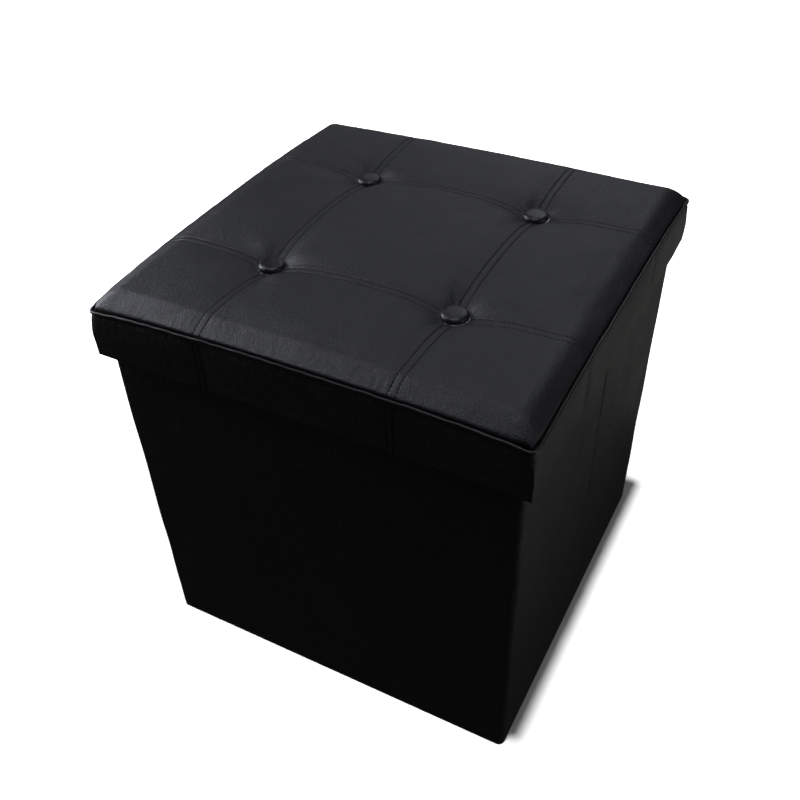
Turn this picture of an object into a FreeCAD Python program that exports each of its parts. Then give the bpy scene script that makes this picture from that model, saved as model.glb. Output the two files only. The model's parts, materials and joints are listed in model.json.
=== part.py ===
import FreeCAD, Part
import math
import os

# Folding cube storage ottoman, in millimetres.
# Frame: origin on the floor at the middle of the footprint, +Z up, front at -Y, creased side walls at +X and -X.

# Lid
LID_WIDTH = 380.0
LID_DEPTH = 377.0
SKIRT_BOTTOM_Z = 333.0
WELT_BOTTOM_Z = 375.0
WELT_RADIUS = 1.5
WELT_CORNER_RADIUS = 2.0
SEAM_OFFSET = 82.5
CROWN_TOP_Z = 396.0
ROLL_TOP_Z = 388.0
ROLL_RADIUS = 12.0
LID_BOARD_THICK = 5.0
SKIRT_BOARD_THICK = 3.0
SKIRT_CORNER_RADIUS = 9.0

# Box
OVERHANG = 7.0
WALL_BOARD_THICK = 4.0
RIM_LIP_HEIGHT = 25.0
BASE_BOARD_THICK = 3.0
BASE_TURN_OVER = 8.0

# Sheet materials
LEATHERETTE = 1.0
LINING = 0.8
WALL_LINING = 1.0

# Clearances
LID_REST_GAP = 0.5
BASE_GAP = 0.5
HINGE_GAP = 0.3
CREASE_GROOVE_RADIUS = 0.6
BOARD_SETBACK = 1.0

# Tufting
BUTTON_RADIUS = 13.0
BUTTON_BOTTOM_Z = 382.0
BUTTON_TOP_Z = 388.5
POCKET_RADIUS = 15.0
SHELL_RADIUS = 11.5
SHELL_HEIGHT = 3.0
TWINE_RADIUS = 0.9
ANCHOR_RADIUS = 8.0
ANCHOR_THICK = 2.0

# Staples under the lid
STAPLE_CROWN = 10.0
STAPLE_WIRE = 0.5
STAPLE_LEG = 4.0
STAPLE_RING = 168.0
STAPLE_STEPS = (-2, -1, 0, 1, 2)

WALL_THICK = LEATHERETTE + WALL_BOARD_THICK + WALL_LINING
BOX_WIDTH = LID_WIDTH - 2 * OVERHANG
BOX_DEPTH = LID_DEPTH - 2 * OVERHANG
HINGE_X = BOX_WIDTH / 2 - WALL_THICK
HINGE_Y = BOX_DEPTH / 2 - WALL_THICK
BASE_TOP_Z = LEATHERETTE + BASE_BOARD_THICK + LINING
WALL_BOTTOM_Z = BASE_TOP_Z + BASE_GAP
SKIRT_THICK = 2 * LEATHERETTE + SKIRT_BOARD_THICK
LID_UNDERSIDE_Z = WELT_BOTTOM_Z - 10.0
LID_BOARD_Z = LID_UNDERSIDE_Z + LINING
FOAM_BOTTOM_Z = LID_BOARD_Z + LID_BOARD_THICK
RIM_Z = LID_UNDERSIDE_Z - LID_REST_GAP

# each side's turn from the front, and its facings' names in order along the side
SKIRT_SIDES = {
    "front": (0, ("left", "middle", "right")),
    "right": (90, ("front", "middle", "rear")),
    "back": (180, ("right", "middle", "left")),
    "left": (270, ("rear", "middle", "front")),
}
BUTTON_SPOTS = [(x, y) for y in (-SEAM_OFFSET, SEAM_OFFSET) for x in (-SEAM_OFFSET, SEAM_OFFSET)]


def save(name, shape):
    """Writes one node's STEP file."""
    shape.exportStep(f"parts/{name}.step")


def block(x0, x1, y0, y1, z0, z1):
    """A box between two corners."""
    return Part.makeBox(x1 - x0, y1 - y0, z1 - z0, FreeCAD.Vector(x0, y0, z0))


def cylinder(radius, x, y, z0, z1):
    """An upright cylinder."""
    return Part.makeCylinder(radius, z1 - z0, FreeCAD.Vector(x, y, z0))


def rounded_block(width, depth, radius, z0, z1):
    """A block about the Z axis with its four upright edges rounded."""
    shape = block(-width / 2, width / 2, -depth / 2, depth / 2, z0, z1)
    upright = [e for e in shape.Edges if abs(e.tangentAt(e.FirstParameter).z) > 0.99]
    return shape.makeFillet(radius, upright)


def group(shapes):
    """Separate solids that share one node."""
    return Part.makeCompound(shapes)


# ---------------------------------------------------------------- base panel


def build_base():
    """A stiff panel: board, leatherette under it and turned over its edges, lining on top inside the turn."""
    corner = WALL_THICK
    board_top = LEATHERETTE + BASE_BOARD_THICK
    board_width = BOX_WIDTH - 2 * LEATHERETTE
    board_depth = BOX_DEPTH - 2 * LEATHERETTE
    lining_width = BOX_WIDTH - 2 * BASE_TURN_OVER
    lining_depth = BOX_DEPTH - 2 * BASE_TURN_OVER
    board = rounded_block(board_width, board_depth, corner - LEATHERETTE, LEATHERETTE, board_top)
    lining = rounded_block(lining_width, lining_depth, LINING, board_top, BASE_TOP_Z)
    cover = rounded_block(BOX_WIDTH, BOX_DEPTH, corner, 0, BASE_TOP_Z)
    save("base_board", board)
    save("base_cover", cover.cut([board, lining]))
    save("base_lining", lining)


# ---------------------------------------------------------------- walls
# A wall is drawn flat first: along U, thickness outwards along V from the inner face, upright along W.
# It is then turned about Z and moved so that U = 0, V = 0 lands on a hinge axis.


def wall_section(bottom, u):
    """The closed outline of a skin: outer face, rim, turned-in lip and bottom turn."""
    inner_lip = RIM_Z - RIM_LIP_HEIGHT
    skin = LEATHERETTE
    outline = [
        (0, bottom),
        (WALL_THICK, bottom),
        (WALL_THICK, RIM_Z),
        (0, RIM_Z),
        (0, inner_lip),
        (WALL_LINING, inner_lip),
        (WALL_LINING, RIM_Z - skin),
        (WALL_THICK - skin, RIM_Z - skin),
        (WALL_THICK - skin, bottom + skin),
        (0, bottom + skin),
    ]
    points = [FreeCAD.Vector(u, v, w) for v, w in outline]
    return Part.Face(Part.makePolygon(points + points[:1]))


def flat_wall(u0, u1, bottom, board_u0, board_u1):
    """Skin, board and lining of one flat wall."""
    skin = wall_section(bottom, u0).extrude(FreeCAD.Vector(u1 - u0, 0, 0))
    low = bottom + LEATHERETTE
    board_out = WALL_THICK - LEATHERETTE
    board = block(board_u0, board_u1, WALL_LINING, board_out, low, RIM_Z - LEATHERETTE)
    lining = block(board_u0, board_u1, 0, WALL_LINING, low, RIM_Z - RIM_LIP_HEIGHT)
    return skin, board, lining


def corner_turn(u, bottom, side):
    """The skin's quarter turn round a box corner, about the upright hinge axis, closed at the rim."""
    full = cylinder(WALL_THICK, u, 0, bottom, RIM_Z)
    hollow = cylinder(WALL_THICK - LEATHERETTE, u, 0, bottom, RIM_Z - LEATHERETTE)
    reach = side * WALL_THICK
    quarter = block(min(u, u + reach), max(u, u + reach), 0, WALL_THICK, bottom, RIM_Z)
    return full.cut(hollow).common(quarter)


def place_wall(shapes, x, y, turn):
    """Turns flat wall pieces about Z and moves their U = V = 0 corner to (x, y)."""
    placed = []
    for shape in shapes:
        copy = shape.copy()
        copy.rotate(FreeCAD.Vector(0, 0, 0), FreeCAD.Vector(0, 0, 1), turn)
        copy.translate(FreeCAD.Vector(x, y, 0))
        placed.append(copy)
    return placed


def save_wall(name, shapes):
    """Writes the three nodes of one wall or half wall."""
    for piece, shape in zip(("skin", "board", "lining"), shapes):
        save(f"{name}_{piece}", shape)


def build_full_wall(name, bottom, turn, x, y):
    """The front or the back wall, whose skin also wraps both box corners."""
    length = 2 * HINGE_X
    skin, board, lining = flat_wall(0, length, bottom, BOARD_SETBACK, length - BOARD_SETBACK)
    turns = [corner_turn(0, bottom, -1), corner_turn(length, bottom, 1)]
    skin = skin.multiFuse(turns).removeSplitter()
    save_wall(name, place_wall((skin, board, lining), x, y, turn))


def build_half_wall(side, place):
    """Half of a side wall, from its corner hinge to the crease at mid depth."""
    near_hinge = HINGE_GAP
    near_crease = HINGE_Y - HINGE_GAP
    skin, board, lining = flat_wall(
        near_hinge,
        near_crease,
        WALL_BOTTOM_Z,
        BOARD_SETBACK,
        HINGE_Y - BOARD_SETBACK,
    )
    groove = cylinder(CREASE_GROOVE_RADIUS, HINGE_Y, WALL_THICK, WALL_BOTTOM_Z, RIM_Z)
    shapes = [skin.cut(groove), board, lining]
    # a turn alone brings the outer face out on two of the four halves, and the other two are mirrored first
    turn_is_enough = (side == "right") == (place == "rear")
    if not turn_is_enough:
        shapes = [s.mirror(FreeCAD.Vector(0, 0, 0), FreeCAD.Vector(0, 1, 0)) for s in shapes]
    x = HINGE_X if side == "right" else -HINGE_X
    y = HINGE_Y if place == "rear" else -HINGE_Y
    turn = -90 if place == "rear" else 90
    save_wall(f"{side}_{place}", place_wall(shapes, x, y, turn))


def build_walls():
    """Front and back walls in one piece each, side walls in two halves each."""
    build_full_wall("back_wall", BASE_TOP_Z, 0, -HINGE_X, HINGE_Y)
    build_full_wall("front_wall", WALL_BOTTOM_Z, 180, HINGE_X, -HINGE_Y)
    for side in ("right", "left"):
        for place in ("rear", "front"):
            build_half_wall(side, place)


# ---------------------------------------------------------------- lid: seat


def crowned_slice(half, inset, reach):
    """One direction of the seat's shape: side rolls and a shallow crown, swept straight across."""
    side = half - inset
    roll = ROLL_RADIUS - inset
    roll_z = ROLL_TOP_Z - inset
    shoulder = side - roll
    middle_z = roll_z - roll
    diagonal = roll * math.sqrt(0.5)
    base_z = FOAM_BOTTOM_Z if inset else WELT_BOTTOM_Z

    def at(x, z):
        return FreeCAD.Vector(x, -reach, z)

    right = Part.Arc(
        at(side, middle_z),
        at(shoulder + diagonal, middle_z + diagonal),
        at(shoulder, roll_z),
    )
    crown = Part.Arc(at(shoulder, roll_z), at(0, CROWN_TOP_Z - inset), at(-shoulder, roll_z))
    left = Part.Arc(
        at(-shoulder, roll_z),
        at(-shoulder - diagonal, middle_z + diagonal),
        at(-side, middle_z),
    )
    edges = [
        Part.makeLine(at(-side, middle_z), at(-side, base_z)),
        Part.makeLine(at(-side, base_z), at(side, base_z)),
        Part.makeLine(at(side, base_z), at(side, middle_z)),
        right.toShape(),
        crown.toShape(),
        left.toShape(),
    ]
    face = Part.Face(Part.Wire(Part.__sortEdges__(edges)))
    return face.extrude(FreeCAD.Vector(0, 2 * reach, 0))


def pillow(inset):
    """The seat's padded shape, crowned along both X and Y, drawn in by inset."""
    edge_room = 2 * WELT_RADIUS + 0.2
    along_x = crowned_slice(LID_WIDTH / 2 - edge_room, inset, LID_DEPTH)
    along_y = crowned_slice(LID_DEPTH / 2 - edge_room, inset, LID_WIDTH)
    along_y.rotate(FreeCAD.Vector(0, 0, 0), FreeCAD.Vector(0, 0, 1), 90)
    return along_x.common(along_y)


def button_pockets():
    """The dimples that the buttons sit in."""
    return [cylinder(POCKET_RADIUS, x, y, BUTTON_BOTTOM_Z, CROWN_TOP_Z) for x, y in BUTTON_SPOTS]


def twine_holes(top):
    """The twine's way through the foam and the board."""
    return [cylinder(TWINE_RADIUS, x, y, LID_BOARD_Z, top) for x, y in BUTTON_SPOTS]


def build_seat():
    """Foam block and the nine panels of the top, cut where the seams run."""
    foam = pillow(LEATHERETTE)
    save("seat_foam", foam.cut(button_pockets() + twine_holes(BUTTON_BOTTOM_Z)))
    cover = pillow(0).cut(foam).cut(button_pockets())
    far = LID_WIDTH
    spans = {"low": (-far, -SEAM_OFFSET), "middle": (-SEAM_OFFSET, SEAM_OFFSET), "high": (SEAM_OFFSET, far)}
    rows = {"front": "low", "": "middle", "back": "high"}
    columns = {"left": "low", "": "middle", "right": "high"}
    for row, span_y in rows.items():
        for column, span_x in columns.items():
            x0, x1 = spans[span_x]
            y0, y1 = spans[span_y]
            cell = block(x0, x1, y0, y1, FOAM_BOTTOM_Z, CROWN_TOP_Z + 1)
            words = [word for word in ("top_panel", row, column) if word]
            name = "_".join(words) if len(words) > 1 else "top_panel_centre"
            save(name, cover.common(cell))


# ---------------------------------------------------------------- lid: board, skirt and welt


def staples():
    """Staples that hold the lining to the underside of the lid board, crown below, legs up."""
    step = 2 * STAPLE_RING / 5
    made = []
    for side in (-1, 1):
        for number in STAPLE_STEPS:
            along = number * step
            made.append(staple(along, side * STAPLE_RING, True))
            made.append(staple(side * STAPLE_RING, along, False))
    return made


def staple(x, y, along_x):
    """One staple: a crown wire and two legs."""
    half = STAPLE_CROWN / 2
    wire = STAPLE_WIRE / 2
    crown_z = LID_UNDERSIDE_Z - STAPLE_WIRE
    crown = block(-half, half, -wire, wire, crown_z, LID_UNDERSIDE_Z)
    leg_top = LID_UNDERSIDE_Z + STAPLE_LEG
    legs = [
        block(-half, -half + STAPLE_WIRE, -wire, wire, crown_z, leg_top),
        block(half - STAPLE_WIRE, half, -wire, wire, crown_z, leg_top),
    ]
    shape = crown.multiFuse(legs).removeSplitter()
    if not along_x:
        shape.rotate(FreeCAD.Vector(0, 0, 0), FreeCAD.Vector(0, 0, 1), 90)
    shape.translate(FreeCAD.Vector(x, y, 0))
    return shape


def build_lid_board():
    """Board with twine holes and anchor recesses, the lining under it and the lining's staples."""
    width = LID_WIDTH - 2 * LEATHERETTE
    depth = LID_DEPTH - 2 * LEATHERETTE
    radius = SKIRT_CORNER_RADIUS - LEATHERETTE
    held = staples()
    recess_top = LID_BOARD_Z + ANCHOR_THICK
    recesses = [cylinder(ANCHOR_RADIUS, x, y, LID_BOARD_Z, recess_top) for x, y in BUTTON_SPOTS]
    board = rounded_block(width, depth, radius, LID_BOARD_Z, FOAM_BOTTOM_Z)
    save("lid_board", board.cut(twine_holes(FOAM_BOTTOM_Z) + recesses + held))
    inside = 2 * (SKIRT_THICK - LEATHERETTE)
    sheet = rounded_block(
        LID_WIDTH - inside,
        LID_DEPTH - inside,
        SKIRT_CORNER_RADIUS - SKIRT_THICK + LEATHERETTE,
        LID_UNDERSIDE_Z,
        LID_BOARD_Z,
    )
    save("lid_lining", sheet.cut(held))
    save("lid_staples", group(held))


def skirt_ring(inset, thick, z0, z1):
    """An upright band that follows the lid's rounded outline, inset from it."""
    radius = max(SKIRT_CORNER_RADIUS - inset, 0.5)
    inner_radius = max(SKIRT_CORNER_RADIUS - inset - thick, 0.5)
    outer = rounded_block(LID_WIDTH - 2 * inset, LID_DEPTH - 2 * inset, radius, z0, z1)
    around = 2 * (inset + thick)
    inner = rounded_block(LID_WIDTH - around, LID_DEPTH - around, inner_radius, z0, z1)
    return outer.cut(inner)


def side_wedge(turn):
    """The part of the plan that belongs to one side, cut at 45 degrees from the lid's corners."""
    half_length, half_across = LID_WIDTH / 2, LID_DEPTH / 2
    if turn in (90, 270):
        half_length, half_across = half_across, half_length
    corners = [
        FreeCAD.Vector(-half_length, -half_across, SKIRT_BOTTOM_Z),
        FreeCAD.Vector(half_length, -half_across, SKIRT_BOTTOM_Z),
        FreeCAD.Vector(0, half_length - half_across, SKIRT_BOTTOM_Z),
    ]
    face = Part.Face(Part.makePolygon(corners + corners[:1]))
    wedge = face.extrude(FreeCAD.Vector(0, 0, WELT_BOTTOM_Z - SKIRT_BOTTOM_Z))
    wedge.rotate(FreeCAD.Vector(0, 0, 0), FreeCAD.Vector(0, 0, 1), turn)
    return wedge


def build_skirt():
    """Skirt boards hung under the lid board, and facings folded round them in three pieces a side."""
    board_low = SKIRT_BOTTOM_Z + LEATHERETTE
    inner_inset = LEATHERETTE + SKIRT_BOARD_THICK
    outer = skirt_ring(0, LEATHERETTE, SKIRT_BOTTOM_Z, WELT_BOTTOM_Z)
    turn_under = skirt_ring(LEATHERETTE, SKIRT_THICK - LEATHERETTE, SKIRT_BOTTOM_Z, board_low)
    lip = skirt_ring(inner_inset, LEATHERETTE, board_low, LID_UNDERSIDE_Z)
    facing = outer.multiFuse([turn_under, lip]).removeSplitter()
    boards = skirt_ring(LEATHERETTE, SKIRT_BOARD_THICK, board_low, LID_BOARD_Z)
    far = LID_WIDTH
    cuts = ((-far, -SEAM_OFFSET), (-SEAM_OFFSET, SEAM_OFFSET), (SEAM_OFFSET, far))
    for side, (turn, places) in SKIRT_SIDES.items():
        wedge = side_wedge(turn)
        save(f"skirt_board_{side}", boards.common(wedge))
        for place, (low, high) in zip(places, cuts):
            strip = block(low, high, -far, 0, SKIRT_BOTTOM_Z, WELT_BOTTOM_Z)
            strip.rotate(FreeCAD.Vector(0, 0, 0), FreeCAD.Vector(0, 0, 1), turn)
            save(f"skirt_{side}_{place}", facing.common(wedge).common(strip))


def build_welt():
    """The welt: a round cord in a leatherette tube, run round the lid's edge in one loop."""
    inset = 2 * WELT_RADIUS
    z = WELT_BOTTOM_Z + WELT_RADIUS
    outline = rounded_block(LID_WIDTH - inset, LID_DEPTH - inset, WELT_CORNER_RADIUS, z, z + 1)
    path = Part.Wire(Part.__sortEdges__([e for e in outline.Edges if e.BoundBox.ZMax < z + 0.01]))
    start = path.OrderedEdges[0]
    point = start.valueAt(start.FirstParameter)
    circle = Part.makeCircle(WELT_RADIUS, point, start.tangentAt(start.FirstParameter))
    save("edge_welt", path.makePipeShell([Part.Wire(circle)], True, False))


# ---------------------------------------------------------------- lid: buttons


def button_dome(x, y):
    """A shallow domed disc."""
    rise = (BUTTON_TOP_Z - BUTTON_BOTTOM_Z) / 2
    sphere_radius = (BUTTON_RADIUS**2 + rise**2) / (2 * rise)
    centre = FreeCAD.Vector(x, y, BUTTON_TOP_Z - sphere_radius)
    disc = cylinder(BUTTON_RADIUS, x, y, BUTTON_BOTTOM_Z, BUTTON_TOP_Z)
    return disc.common(Part.makeSphere(sphere_radius, centre))


def build_buttons():
    """Shells, their covers, the twines that pull them down and the anchors under the board."""
    shell_top = BUTTON_BOTTOM_Z + SHELL_HEIGHT
    anchor_top = LID_BOARD_Z + ANCHOR_THICK
    shells, covers, twines, anchors = [], [], [], []
    for x, y in BUTTON_SPOTS:
        shell = cylinder(SHELL_RADIUS, x, y, BUTTON_BOTTOM_Z, shell_top)
        shells.append(shell)
        covers.append(button_dome(x, y).cut(shell))
        twines.append(cylinder(TWINE_RADIUS, x, y, anchor_top, BUTTON_BOTTOM_Z))
        anchors.append(cylinder(ANCHOR_RADIUS, x, y, LID_BOARD_Z, anchor_top))
    save("button_shells", group(shells))
    save("button_covers", group(covers))
    save("button_twines", group(twines))
    save("twine_anchors", group(anchors))


os.makedirs("parts", exist_ok=True)
build_base()
build_walls()
build_seat()
build_lid_board()
build_skirt()
build_welt()
build_buttons()
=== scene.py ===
import json
import math

import bmesh
import bpy
import numpy as np
from mathutils import Matrix, Vector


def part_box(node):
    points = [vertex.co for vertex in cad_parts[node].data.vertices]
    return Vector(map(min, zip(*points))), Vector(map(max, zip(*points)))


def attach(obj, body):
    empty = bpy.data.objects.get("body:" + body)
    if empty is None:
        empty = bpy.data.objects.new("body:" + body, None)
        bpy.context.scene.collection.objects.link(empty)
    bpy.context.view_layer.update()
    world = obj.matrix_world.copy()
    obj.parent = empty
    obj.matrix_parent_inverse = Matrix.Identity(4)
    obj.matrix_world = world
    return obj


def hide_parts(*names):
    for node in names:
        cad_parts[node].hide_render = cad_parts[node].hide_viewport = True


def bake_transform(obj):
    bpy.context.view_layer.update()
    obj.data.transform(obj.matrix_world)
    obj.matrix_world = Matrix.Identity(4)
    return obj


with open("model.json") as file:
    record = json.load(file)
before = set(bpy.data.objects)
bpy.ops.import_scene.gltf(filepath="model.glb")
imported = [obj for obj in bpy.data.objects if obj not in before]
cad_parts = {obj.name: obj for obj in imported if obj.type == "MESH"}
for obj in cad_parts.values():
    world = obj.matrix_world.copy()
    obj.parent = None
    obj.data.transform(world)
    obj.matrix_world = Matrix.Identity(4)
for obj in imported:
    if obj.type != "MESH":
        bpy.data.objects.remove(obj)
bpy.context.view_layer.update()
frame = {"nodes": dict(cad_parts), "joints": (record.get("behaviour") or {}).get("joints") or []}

# The looks of a folding storage cube in black leatherette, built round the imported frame.
# Shapes are worked out in millimetres and scaled to metres when a mesh is made.

MM = 0.001


def box_mm(node):
    """A CAD node's lowest and highest corners, in millimetres."""
    low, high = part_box(node)
    return low / MM, high / MM


def joint_mm(name):
    """The point on a joint's axis, in millimetres."""
    joint = next(j for j in frame["joints"] if j["name"] == name)
    return Vector(joint["pos_m"]) / MM


SKIRT_LOW, SKIRT_HIGH = box_mm("skirt_front_middle")
WALL_LOW, WALL_HIGH = box_mm("front_wall_skin")
BASE_LOW, BASE_HIGH = box_mm("base_cover")
LINING_LOW, LINING_HIGH = box_mm("front_wall_lining")
WELT_LOW = box_mm("edge_welt")[0]
SIDE_LOW = box_mm("right_rear_skin")[0]
BACK_LOW = box_mm("back_wall_skin")[0]
LID_LINING_LOW = box_mm("lid_lining")[0]
SIDE_SKIRT_HIGH = box_mm("skirt_right_middle")[1]
CENTRE_HIGH = box_mm("top_panel_centre")[1]
BUTTON_HIGH = box_mm("button_covers")[1]
LID_BOARD_HIGH = box_mm("lid_board")[1]

LID_HALF = np.array([SIDE_SKIRT_HIGH.x, -SKIRT_LOW.y])
SEAM = CENTRE_HIGH.x
SKIRT_BOTTOM = SKIRT_LOW.z
SKIRT_THICK = SKIRT_HIGH.y - SKIRT_LOW.y
WALL_THICK = WALL_HIGH.y - WALL_LOW.y
RIM_Z = WALL_HIGH.z
LIP_Z = LINING_HIGH.z
BUTTON_RADIUS = BUTTON_HIGH.x - SEAM
BUTTON_TOP = BUTTON_HIGH.z

# The lid's edge line: lowest at the corners, higher along each side.
EDGE_CORNER_Z = WELT_LOW.z
EDGE_RISE = 7.0
EDGE_POWER = 3.0

# The seat's padded shape: its outline, the roll round its edge and the crown of its middle.
SEAT_INSET = 3.2
SEAT_CORNER = 14.0
CORNER_TURN = 0.5
CREST_Z = 391.3
CROWN = 4.5
CROWN_POWER = 2.4
ROLL_WIDTH = 23.0
ROLL_SOFTNESS = 5.0
RIGHT_ROLL_CUT = 8.0
TUCK_HEIGHT = 3.0
TUCK_WIDTH = 0.7
TUCK_DROP = 0.3
BULGE = 1.5
BULGE_AT = 1.5

# The faint ridge where the edge roll begins, broader on the right.
RIDGE_AT = 17.0
RIDGE, RIDGE_WIDTH = 0.55, 3.2
RIGHT_RIDGE, RIGHT_RIDGE_WIDTH = 0.7, 7.0

# Seams and buttons.
SEAM_ROW = 3.0
SKIRT_SEAM_ROW = 2.6
DIMPLE_DEPTH = 8.8
DIMPLE_FLAT = 12.4
DIMPLE_REACH, DIMPLE_SEAM_REACH = 9.0, 14.0
PLEAT_HEIGHT, PLEATS_AT, PLEATS_WIDTH = 0.055, 17, 10
STITCH_STOP = 12.6
BUTTONS = (
    ("front_left", -1, -1),
    ("front_right", 1, -1),
    ("back_left", -1, 1),
    ("back_right", 1, 1),
)
BUTTON_SHIFT = (-0.5, 1.1)
BUTTON_SINK = 4.8


# ---------------------------------------------------------------- small helpers


def ripple(seed, shortest, longest, count=24):
    """A smooth random field of one amplitude over x and y, the same on every run."""
    random = np.random.default_rng(seed)
    length = np.exp(random.uniform(math.log(shortest), math.log(longest), count))
    angle = random.uniform(0, 2 * math.pi, count)
    phase = random.uniform(0, 2 * math.pi, count)
    kx = 2 * math.pi / length * np.cos(angle)
    ky = 2 * math.pi / length * np.sin(angle)

    def field(x, y):
        total = np.zeros(np.broadcast(x, y).shape)
        for n in range(count):
            total += np.cos(kx[n] * x + ky[n] * y + phase[n])
        return total / math.sqrt(count / 2)

    return field


def bell(distance, width):
    """A smooth bump of height 1."""
    return np.exp(-((distance / width) ** 2))


def rise(value, start, end):
    """0 before start, 1 after end, smooth between."""
    t = np.clip((value - start) / (end - start), 0, 1)
    return t * t * (3 - 2 * t)


def grid_faces(rows, columns, wrap_rows=False, wrap_columns=False):
    """Quads of a grid whose vertices run row by row."""
    faces = []
    for r in range(rows if wrap_rows else rows - 1):
        for c in range(columns if wrap_columns else columns - 1):
            r2, c2 = (r + 1) % rows, (c + 1) % columns
            faces.append((r * columns + c, r * columns + c2, r2 * columns + c2, r2 * columns + c))
    return faces


def make(name, points, faces, material, body=None, sharp=50):
    """A mesh piece from points in millimetres, smooth except at edges sharper than the given angle."""
    mesh = bpy.data.meshes.new(name)
    mesh.from_pydata((np.asarray(points, float).reshape(-1, 3) * MM).tolist(), [], faces)
    mesh.validate()
    shell = bmesh.new()
    shell.from_mesh(mesh)
    bmesh.ops.recalc_face_normals(shell, faces=shell.faces)
    shell.to_mesh(mesh)
    shell.free()
    mesh.polygons.foreach_set("use_smooth", np.ones(len(mesh.polygons), bool))
    mesh.set_sharp_from_angle(angle=math.radians(sharp))
    mesh.materials.append(material)
    piece = bpy.data.objects.new(name, mesh)
    bpy.context.scene.collection.objects.link(piece)
    if body:
        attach(piece, body)
    return piece


# ---------------------------------------------------------------- materials

WHITE = (1, 1, 1)
COOL_BLACK = (0.0105, 0.0108, 0.0120)
# The sides' black: the seat's leatherette darkened for the walls, skirt and base, as painted shade.
SHADED_SIDE_BLACK = (0.008, 0.008, 0.008)
WARM_GLOSS = (1, 0.96, 0.88)


def new_material(name):
    """An empty node material: (material, nodes, links, principled shader)."""
    material = bpy.data.materials.new(name)
    material.use_nodes = True
    nodes = material.node_tree.nodes
    return material, nodes, material.node_tree.links, nodes["Principled BSDF"]


def add(nodes, kind, **values):
    """A node with its plain properties and sockets set."""
    node = nodes.new(kind)
    for key, value in values.items():
        if key in node.inputs:
            node.inputs[key].default_value = value
        else:
            setattr(node, key.lower().replace(" ", "_"), value)
    return node


def noise(nodes, links, where, **values):
    """A noise texture laid over the object."""
    node = add(nodes, "ShaderNodeTexNoise", **values)
    links.new(where, node.inputs["Vector"])
    return node


def ramp(nodes, links, source, *limits):
    """Maps a socket's range to another range."""
    node = nodes.new("ShaderNodeMapRange")
    for socket, value in zip(("From Min", "From Max", "To Min", "To Max"), limits):
        node.inputs[socket].default_value = value
    links.new(source, node.inputs["Value"])
    return node.outputs["Result"]


def product(nodes, links, first, second, operation="MULTIPLY"):
    """Two sockets multiplied, or joined by another operation."""
    node = nodes.new("ShaderNodeMath")
    node.operation = operation
    links.new(first, node.inputs[0])
    links.new(second, node.inputs[1])
    return node.outputs[0]


def two_tone(nodes, links, shader, colour, dark, light, factor):
    """A base colour that runs from a darker to a lighter tone of one colour."""
    base = nodes.new("ShaderNodeMix")
    base.data_type = "RGBA"
    base.inputs[6].default_value = (*[c * dark for c in colour], 1)
    base.inputs[7].default_value = (*[c * light for c in colour], 1)
    links.new(factor, base.inputs["Factor"])
    links.new(base.outputs[2], shader.inputs["Base Color"])


def bumps(nodes, links, shader, *layers):
    """Relief built from (height socket, distance, strength) layers, each on top of the one before."""
    normal = None
    for height, distance, strength in layers:
        bump = add(nodes, "ShaderNodeBump", Strength=strength, Distance=distance)
        links.new(height, bump.inputs["Height"])
        if normal:
            links.new(normal, bump.inputs["Normal"])
        normal = bump.outputs["Normal"]
    links.new(normal, shader.inputs["Normal"])


def leather(name, roughness, colour=COOL_BLACK, grain=1.0, wrinkle=1.0, clump=0.0024, lift=0.0, tint=WHITE):
    """Black synthetic leather: clumped pebble grain with finer pores, faint creases and uneven polish."""
    material, nodes, links, shader = new_material(name)
    shader.inputs["Specular Tint"].default_value = (*tint, 1)
    where = nodes.new("ShaderNodeTexCoord").outputs["Object"]
    warp = noise(nodes, links, where, Scale=90.0, Detail=2.0)
    mix = nodes.new("ShaderNodeMix")
    mix.data_type = "VECTOR"
    mix.inputs["Factor"].default_value = 0.0016
    links.new(where, mix.inputs[4])
    links.new(warp.outputs["Color"], mix.inputs[5])
    pebbles = nodes.new("ShaderNodeTexVoronoi")
    pebbles.feature = "DISTANCE_TO_EDGE"
    pebbles.inputs["Scale"].default_value = 760.0
    links.new(mix.outputs[1], pebbles.inputs["Vector"])
    pebble_height = ramp(nodes, links, pebbles.outputs["Distance"], 0.0, 0.28, 0.0, 1.0)
    pores = noise(nodes, links, where, Scale=2600.0, Detail=2.0)
    creases = noise(nodes, links, where, Scale=120.0, Detail=3.0, Roughness=0.5)
    clumps = noise(nodes, links, where, Scale=1 / clump, Detail=2.0, Roughness=0.5)
    polish = noise(nodes, links, where, Scale=14.0, Detail=3.0).outputs["Fac"]

    worn = ramp(nodes, links, polish, 0.3, 0.7, 0.55, 1.0)
    two_tone(nodes, links, shader, colour, 0.72, 1.2, product(nodes, links, pebble_height, worn))
    gloss = ramp(nodes, links, polish, 0.3, 0.7, roughness - 0.05, roughness + 0.05)
    between = ramp(nodes, links, pebble_height, 0.0, 1.0, 0.12, 0.0)
    links.new(product(nodes, links, gloss, between, "ADD"), shader.inputs["Roughness"])
    bumps(
        nodes,
        links,
        shader,
        (creases.outputs["Fac"], 0.0002 * wrinkle, 1.0),
        (clumps.outputs["Fac"], lift, 1.0),
        (pebble_height, 0.00011 * grain, 1.0),
        (pores.outputs["Fac"], 0.00003 * grain, 1.0),
    )
    return material


def thread_material(name, colour):
    """Twisted polyester thread."""
    material, nodes, links, shader = new_material(name)
    where = nodes.new("ShaderNodeTexCoord").outputs["Object"]
    twist = noise(nodes, links, where, Scale=3000.0, Detail=1.0).outputs["Fac"]
    bumps(nodes, links, shader, (twist, 0.0001, 0.6))
    links.new(ramp(nodes, links, twist, 0.3, 0.7, 0.6, 0.8), shader.inputs["Roughness"])
    shader.inputs["Base Color"].default_value = (*colour, 1)
    shader.inputs["Specular IOR Level"].default_value = 0.15
    return material


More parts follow.
